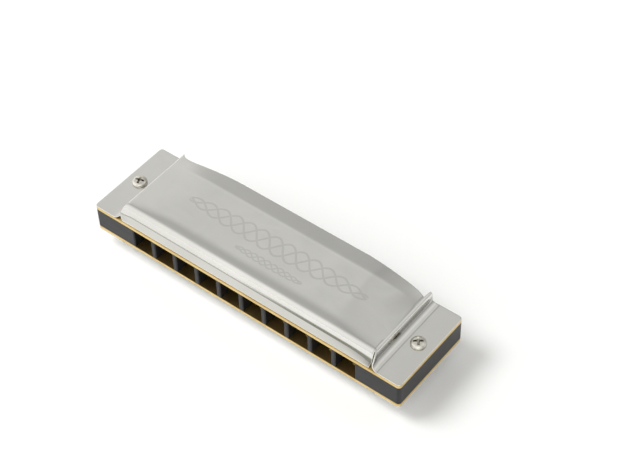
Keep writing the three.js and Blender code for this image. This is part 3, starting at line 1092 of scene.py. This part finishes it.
class Nodes:
    """A node tree with short ways to add nodes. Coordinates are the row frame's, in millimetres."""

    def __init__(self, tree):
        self.tree = tree

    def put(self, socket, value):
        """Links another node's output to a socket, or sets the socket's number or colour."""
        if isinstance(value, bpy.types.NodeSocket):
            self.tree.links.new(value, socket)
        else:
            socket.default_value = (*value, 1) if socket.type == "RGBA" else value

    def add(self, kind, inputs=(), output=0, **settings):
        """One output of a new node, whose inputs are given as pairs of a name or number and a value."""
        node = self.tree.nodes.new(kind)
        for key, value in settings.items():
            setattr(node, key, value)
        for key, value in dict(inputs).items():
            self.put(node.inputs[key], value)
        return node.outputs[output]

    def place(self, scale=(1, 1, 1)):
        """The point's coordinates in millimetres, scaled along each axis."""
        coords = self.add("ShaderNodeTexCoord", output="Object")
        return self.add("ShaderNodeMapping", {"Vector": coords, "Scale": [s / MM for s in scale]})

    def axis(self, vector, name):
        return self.add("ShaderNodeSeparateXYZ", {0: vector}, name)

    def noise(self, scale, detail, roughness=0.5, distortion=0.0):
        """Noise with one cell per 1 / scale millimetres along each axis."""
        inputs = {"Vector": self.place(scale), "Scale": 1.0, "Detail": detail}
        inputs.update({"Roughness": roughness, "Distortion": distortion})
        return self.add("ShaderNodeTexNoise", inputs, "Fac")

    def marked(self, name):
        """The number stored per point under a name."""
        return self.add("ShaderNodeAttribute", output="Fac", attribute_name=name)

    def math(self, operation, a, b=0.0, clamp=False):
        return self.add("ShaderNodeMath", {0: a, 1: b}, operation=operation, use_clamp=clamp)

    def plus(self, a, b):
        return self.math("ADD", a, b)

    def minus(self, a, b, clamp=False):
        return self.math("SUBTRACT", a, b, clamp)

    def times(self, a, b):
        return self.math("MULTIPLY", a, b)

    def ranged(self, value, low, high, out_low, out_high):
        return self.add("ShaderNodeMapRange", enumerate((value, low, high, out_low, out_high)))

    def mix(self, factor, a, b, blend="MIX"):
        inputs = {0: factor, 6: a, 7: b}
        return self.add("ShaderNodeMix", inputs, 2, data_type="RGBA", blend_type=blend)

    def bump(self, height, strength, distance, normal=None):
        inputs = {"Height": height, "Strength": strength, "Distance": distance * MM}
        if normal:
            inputs["Normal"] = normal
        return self.add("ShaderNodeBump", inputs)

    def surface(self, factor, first, second, output):
        """Sends the first or the second shader to an output, where the factor is 0 or 1."""
        chosen = self.add("ShaderNodeMixShader", {0: factor, 1: first, 2: second})
        self.put(self.tree.nodes[output].inputs["Surface"], chosen)


class Shader(Nodes):
    """The nodes of a new material."""

    def __init__(self, name, metallic, specular=0.5):
        self.material = bpy.data.materials.new(name)
        self.material.use_nodes = True
        super().__init__(self.material.node_tree)
        self.bsdf = self.tree.nodes["Principled BSDF"]
        self.put(self.bsdf.inputs["Metallic"], metallic)
        self.put(self.bsdf.inputs["Specular IOR Level"], specular)

    def finish(self, colour, roughness, normal=None):
        self.put(self.bsdf.inputs["Base Color"], colour)
        self.put(self.bsdf.inputs["Roughness"], roughness)
        if normal:
            self.put(self.bsdf.inputs["Normal"], normal)
        return self.material


def etched_braid(shader, middle, half_length, height, wave, width):
    """Three crossing waves inside a fading length: 1 on the lines, 0 beside them."""
    place = shader.place()
    x = shader.minus(shader.axis(place, "X"), middle[0])
    y = shader.minus(shader.axis(place, "Y"), middle[1])
    taper = shader.math("DIVIDE", x, half_length)
    taper = shader.minus(1.0, shader.times(taper, taper), clamp=True)
    swing = shader.times(shader.math("SQRT", taper), height)
    mask = 0.0
    for strand in range(3):
        phase = 2 * pi * strand / 3
        angle = shader.plus(shader.times(x, 2 * pi / wave), phase)
        line = shader.times(shader.math("SINE", angle), swing)
        gap = shader.math("ABSOLUTE", shader.minus(y, line))
        slope = shader.times(shader.math("COSINE", angle), swing)
        slope = shader.times(slope, 2 * pi / wave)
        steep = shader.math("SQRT", shader.plus(shader.times(slope, slope), 1.0))
        near = shader.math("DIVIDE", gap, steep)
        stroke = shader.ranged(near, width * 0.7, width, 1.0, 0.0)
        mask = shader.math("MAXIMUM", mask, stroke)
    ends = shader.ranged(taper, 0.0, 0.05, 0.0, 1.0)
    return shader.times(mask, ends)


def nickel_sheet(name, etched):
    """Bright nickel plate over rolled sheet: nearly mirror-like, with grain and faint smudges.

    The shades marked on the mesh stand for the dark things that the real metal mirrors.
    """
    shader = Shader(name, 1.0)
    grain = shader.noise((0.25, 9.0, 9.0), 4.0, 0.6)
    smudge = shader.noise((0.09, 0.12, 0.12), 5.0, 0.62, 0.6)
    speckle = shader.noise((3.0, 3.0, 3.0), 2.0, 0.5)
    roughness = shader.ranged(smudge, 0.35, 0.7, 0.11, 0.19)
    roughness = shader.plus(roughness, shader.ranged(grain, 0.3, 0.7, -0.02, 0.025))
    tint = shader.ranged(smudge, 0.3, 0.75, 0.0, 1.0)
    colour = shader.mix(tint, (0.775, 0.767, 0.738), (0.735, 0.727, 0.695))
    # Painted dark reflection on the lower end walls, marked per point
    colour = shader.mix(shader.times(shader.marked("end_wall_dark_reflection"), 0.8), colour, (0.38, 0.375, 0.36))
    # Painted dark reflection and shade at the lip, in the crease and under the veil over the front wall
    colour = shader.mix(shader.times(shader.marked("crease"), 0.95), colour, (0.20, 0.20, 0.165))
    waviness = shader.noise((0.05, 0.08, 0.08), 2.0, 0.4)
    normal = shader.bump(waviness, 0.25, 0.25)
    normal = shader.bump(grain, 0.06, 0.004, normal)
    normal = shader.bump(speckle, 0.05, 0.004, normal)
    if etched:
        large = etched_braid(shader, (1.0, 0.6), 29.5, 2.7, 13.0, 0.34)
        small = etched_braid(shader, (3.0, -5.2), 11.0, 1.0, 6.5, 0.24)
        height = shader.axis(shader.place(), "Z")
        raised = shader.math("GREATER_THAN", height, TAB_TOP + 2.5)
        mask = shader.times(shader.math("MAXIMUM", large, small), raised)
        mask = shader.times(mask, shader.ranged(speckle, 0.3, 0.7, 0.75, 1.0))
        colour = shader.mix(mask, colour, (0.675, 0.667, 0.64))
        roughness = shader.plus(roughness, shader.times(mask, 0.1))
    return shader.finish(colour, roughness, normal)


def brass(name, colour, dark, stretch, roughness):
    """Rolled or ground brass: fine marks along one axis, with a slight tarnish."""
    shader = Shader(name, 1.0)
    marks = shader.noise(stretch, 5.0, 0.65)
    tarnish = shader.noise((0.18, 0.18, 0.5), 4.0, 0.6, 0.4)
    tone = shader.mix(shader.ranged(tarnish, 0.38, 0.72, 0.0, 0.75), colour, dark)
    rough = shader.ranged(marks, 0.25, 0.75, roughness - 0.06, roughness + 0.1)
    rough = shader.plus(rough, shader.ranged(tarnish, 0.4, 0.7, 0.0, 0.1))
    return shader.finish(tone, rough, shader.bump(marks, 0.3, 0.012))


def black_plastic(name):
    """Moulded black plastic with a fine grain and faint flow marks."""
    shader = Shader(name, 0.0, specular=0.3)
    grain = shader.noise((5.0, 5.0, 5.0), 3.0, 0.6)
    flow = shader.noise((0.06, 0.3, 0.3), 3.0, 0.5, 0.8)
    flow = shader.ranged(flow, 0.3, 0.7, 0.0, 1.0)
    colour = shader.mix(flow, (0.011, 0.011, 0.012), (0.019, 0.019, 0.021))
    roughness = shader.ranged(grain, 0.25, 0.75, 0.3, 0.44)
    return shader.finish(colour, roughness, shader.bump(grain, 0.25, 0.02))


def plated_steel(name):
    """Warm nickel-plated steel of the screws and nuts, with turning marks and soft wear."""
    shader = Shader(name, 1.0)
    marks = shader.noise((6.0, 6.0, 30.0), 3.0, 0.5)
    wear = shader.ranged(shader.noise((1.2, 1.2, 1.2), 4.0, 0.6), 0.4, 0.7, 0.0, 1.0)
    colour = shader.mix(wear, (0.87, 0.84, 0.77), (0.82, 0.78, 0.70))
    # Painted shade in the cross recess and painted contact shadow where the head seats
    colour = shader.mix(shader.marked("recess"), colour, (0.10, 0.085, 0.065))
    roughness = shader.ranged(marks, 0.3, 0.7, 0.27, 0.36)
    return shader.finish(colour, roughness, shader.bump(marks, 0.08, 0.005))


# ---- Assembly

def make_harmonica():
    plate_brass = brass("plate_brass", (0.80, 0.60, 0.27), (0.62, 0.43, 0.17), (0.3, 8.0, 8.0), 0.3)
    reed_brass = brass("reed_brass", (0.86, 0.68, 0.34), (0.70, 0.50, 0.21), (8.0, 0.4, 8.0), 0.26)
    rivet_brass = brass("rivet_brass", (0.78, 0.58, 0.26), (0.60, 0.42, 0.17), (3.0, 3.0, 3.0), 0.28)
    steel = plated_steel("plated_steel")
    make_cover("upper_cover_sheet", "upper_cover", nickel_sheet("nickel_etched", True), True)
    make_cover("lower_cover_sheet", "lower_cover", nickel_sheet("nickel_plain", False), False)
    make_comb(black_plastic("black_plastic"))
    make_reed_plate("upper", "blow", plate_brass)
    make_reed_plate("lower", "draw", plate_brass)
    for kind in ("blow", "draw"):
        for hole in range(1, HOLES + 1):
            make_reed(kind, hole, reed_brass)
            make_rivet(kind, hole, rivet_brass)
    for side, turn in (("left", 17), ("right", 37)):
        make_screw(f"cover_screw_{side}_turned", f"cover_screw_{side}", steel, COVER_SCREW, turn)
        make_nut(side, steel, turn * 2)
    for side in ("upper", "lower"):
        for i in range(1, PLATE_SCREWS + 1):
            node = f"{side}_plate_screw_{i}"
            make_screw(f"{node}_turned", node, steel, PLATE_SCREW, 31 * i, side == "lower")


# ---- Floor, light and camera

FLOOR_HALF = 3000
FLOOR_GAP = 0.02
FLOOR_COLOUR = (0.93, 0.93, 0.925)

# Brightness of the studio by direction: along Y from the front (-1) to the back (1), and along X
STUDIO_Y = [
    (-1.0, 0.85), (-0.84, 0.97), (-0.6, 0.98), (-0.45, 0.90), (-0.27, 0.76), (-0.1, 0.61),
    (0.03, 0.51), (0.12, 0.44), (0.19, 0.44), (0.26, 0.535), (0.34, 0.605), (0.43, 0.63),
    (0.56, 0.655), (0.66, 0.50), (0.8, 0.39), (1.0, 0.35),
]
STUDIO_X = [
    (-1.0, 0.85), (-0.72, 0.62), (-0.52, 0.59), (-0.43, 0.58), (-0.385, 0.58), (-0.345, 0.49),
    (-0.29, 0.53), (-0.19, 0.53), (-0.12, 0.32), (-0.07, 0.34), (0.02, 0.56), (0.2, 0.55),
    (0.47, 0.67), (0.7, 0.57), (0.83, 0.51), (0.95, 0.29), (1.0, 0.27),
]
STUDIO_STRENGTH = 1.97
BACKDROP = (0.97, 0.97, 0.965)

# A soft lamp that lights the floor but isn't mirrored: its place and size in metres, and its watts
LAMP_PLACE = Vector((-0.45, -0.35, 0.85))
LAMP_SIZE = 0.5
LAMP_POWER = 6.0

# Camera: azimuth and elevation of the view, its distance, roll and the point it looks at
AZIMUTH = radians(39.67)
ELEVATION = radians(47.41)
ROLL = radians(-2.17)
DISTANCE = 0.4337
TARGET = (0.00085, 0.0157)
LENS = 94.64
SENSOR = 36


def make_floor():
    """A plain pale floor that lets a camera below it see through."""
    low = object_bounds()[0].z
    corners = [(x * FLOOR_HALF, y * FLOOR_HALF, 0) for x, y in ((-1, -1), (1, -1), (1, 1), (-1, 1))]
    floor = mesh_object("floor", corners, [(0, 1, 2, 3)], smooth=False)
    floor.location.z = low - FLOOR_GAP * MM
    paper = Shader("floor_paper", 0.0, specular=0.15)
    below = paper.add("ShaderNodeNewGeometry", output="Backfacing")
    clear = paper.add("ShaderNodeBsdfTransparent")
    paper.surface(below, paper.bsdf.outputs[0], clear, "Material Output")
    floor.data.materials.append(paper.finish(FLOOR_COLOUR, 0.8))


def studio_ramp(nodes, direction, brightness):
    """Brightness looked up by one component of the direction, from -1 to 1."""
    along = nodes.add("ShaderNodeMapRange", {"Value": direction, "From Min": -1})
    ramp = nodes.tree.nodes.new("ShaderNodeValToRGB")
    ramp.color_ramp.interpolation = "EASE"
    stops = ramp.color_ramp.elements
    while len(stops) < len(brightness):
        stops.new(0.5)
    for stop, (place, bright) in zip(stops, brightness):
        stop.position = (place + 1) / 2
        stop.color = (bright, bright, bright * 0.99, 1)
    nodes.put(ramp.inputs["Fac"], along)
    return ramp.outputs["Color"]


def make_world():
    """Soft studio light, brightest in front and dimmest behind; the camera sees a plain white."""
    world = bpy.data.worlds.new("studio")
    bpy.context.scene.world = world
    world.use_nodes = True
    nodes = Nodes(world.node_tree)
    direction = nodes.add("ShaderNodeTexCoord", output="Generated")
    along_y = studio_ramp(nodes, nodes.axis(direction, "Y"), STUDIO_Y)
    along_x = studio_ramp(nodes, nodes.axis(direction, "X"), STUDIO_X)
    lit = nodes.tree.nodes["Background"]
    nodes.put(lit.inputs["Color"], nodes.mix(1, along_y, along_x, "MULTIPLY"))
    nodes.put(lit.inputs["Strength"], STUDIO_STRENGTH)
    backdrop = nodes.add("ShaderNodeBackground", {"Color": BACKDROP})
    seen = nodes.add("ShaderNodeLightPath", output="Is Camera Ray")
    nodes.surface(seen, lit.outputs[0], backdrop, "World Output")


def make_lamp():
    light = bpy.data.lights.new("key", "AREA")
    light.shape = "DISK"
    light.size = LAMP_SIZE
    light.energy = LAMP_POWER
    lamp = scene_object("key", light)
    lamp.location = LAMP_PLACE
    lamp.rotation_euler = (-LAMP_PLACE).to_track_quat("-Z", "Y").to_euler()
    lamp.visible_glossy = False


def make_camera():
    camera = scene_object("camera", bpy.data.cameras.new("camera"))
    camera.data.lens = LENS
    camera.data.sensor_width = SENSOR
    camera.data.clip_start = 0.01
    camera.data.clip_end = 20
    back = Vector((
        sin(AZIMUTH) * cos(ELEVATION),
        -cos(AZIMUTH) * cos(ELEVATION),
        sin(ELEVATION),
    ))
    camera.location = Vector((*TARGET, TAB_TOP * MM)) + back * DISTANCE
    turn = (-back).to_track_quat("-Z", "Y").to_matrix() @ Matrix.Rotation(ROLL, 3, "Z")
    camera.rotation_euler = turn.to_euler()
    bpy.context.scene.camera = camera


make_harmonica()
make_floor()
make_world()
make_lamp()
make_camera()
bpy.context.scene.view_settings.view_transform = "Standard"
